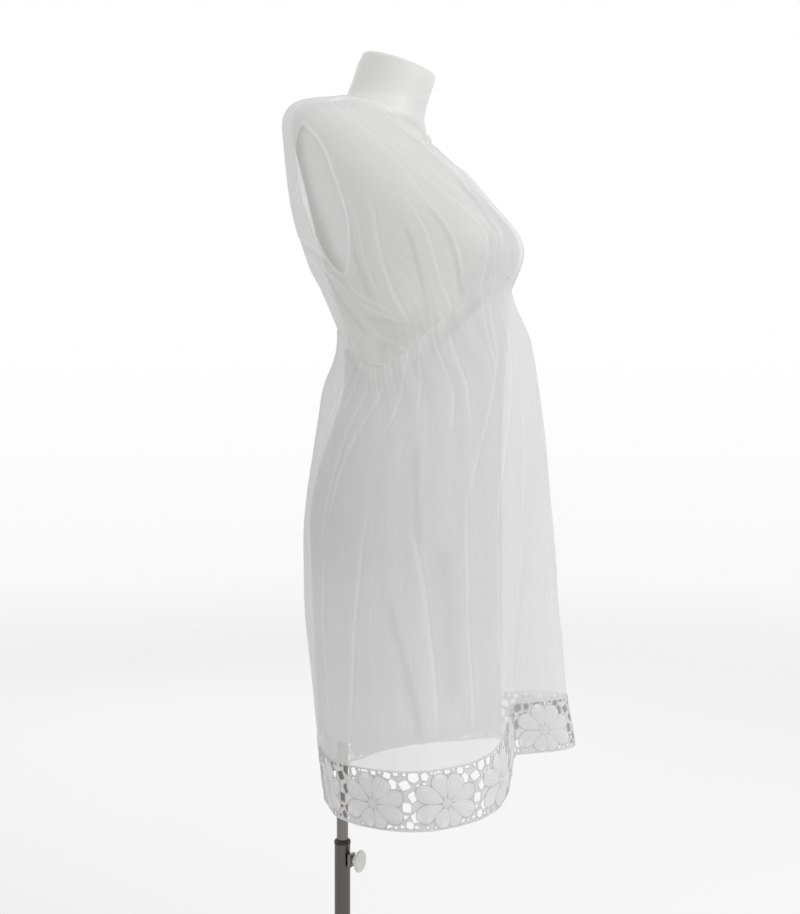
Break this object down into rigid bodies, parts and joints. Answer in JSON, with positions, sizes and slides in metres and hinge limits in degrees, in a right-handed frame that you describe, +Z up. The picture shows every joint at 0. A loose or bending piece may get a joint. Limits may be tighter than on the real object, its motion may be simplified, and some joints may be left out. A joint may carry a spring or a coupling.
{
  "type": "summer dress on a dress form",
  "caption": "Sleeveless empire-line summer dress with a crossed V neck, slip lining and cutwork lace hem, on a limbless dress form with a height-adjustable pole and round base.",
  "frame": {"origin": "centre of the base plate's underside, on the pole's axis", "axes": "+Z up along the pole, the dress faces -Y, +X is the wearer's left"},
  "size_m": [0.4383, 0.4968, 1.4985],
  "materials": {
    "voile": "matte",
    "lining_cotton": "matte",
    "cutwork_lace": "matte",
    "form_shell": "satin",
    "steel_tube": "satin",
    "black_plastic": "matte",
    "knob_plastic": "satin",
    "base_paint": "satin"
  },
  "bodies": {
    "stand": {"base_plate": "base_paint", "base_socket": "steel_tube", "outer_tube": "steel_tube", "bushing": "black_plastic", "clamp_block": "steel_tube"},
    "clamp": {"thumb_screw": "knob_plastic"},
    "upper": {"front_right": "voile", "front_left": "voile", "back": "voile", "skirt_front": "voile", "skirt_back": "voile", "neck_binding": "voile", "armhole_binding_right": "voile", "armhole_binding_left": "voile", "lining_front": "lining_cotton", "lining_back": "lining_cotton", "hem_lace_right": "cutwork_lace", "hem_lace_left": "cutwork_lace", "neck_lace_right": "cutwork_lace", "neck_lace_left": "cutwork_lace", "dress_form": "form_shell", "inner_tube": "steel_tube", "form_flange": "steel_tube"}
  },
  "joints": [
    {"name": "height_slide", "type": "slide", "parent": "stand", "child": "upper", "axis": [0, 0, 1], "range_m": [-0.15, 0.15]},
    {"name": "clamp_screw_turn", "type": "hinge", "parent": "stand", "child": "clamp", "pos_m": [0, 0, 0.381], "axis": [-0.1219, -0.9925, 0], "continuous": true}
  ]
}
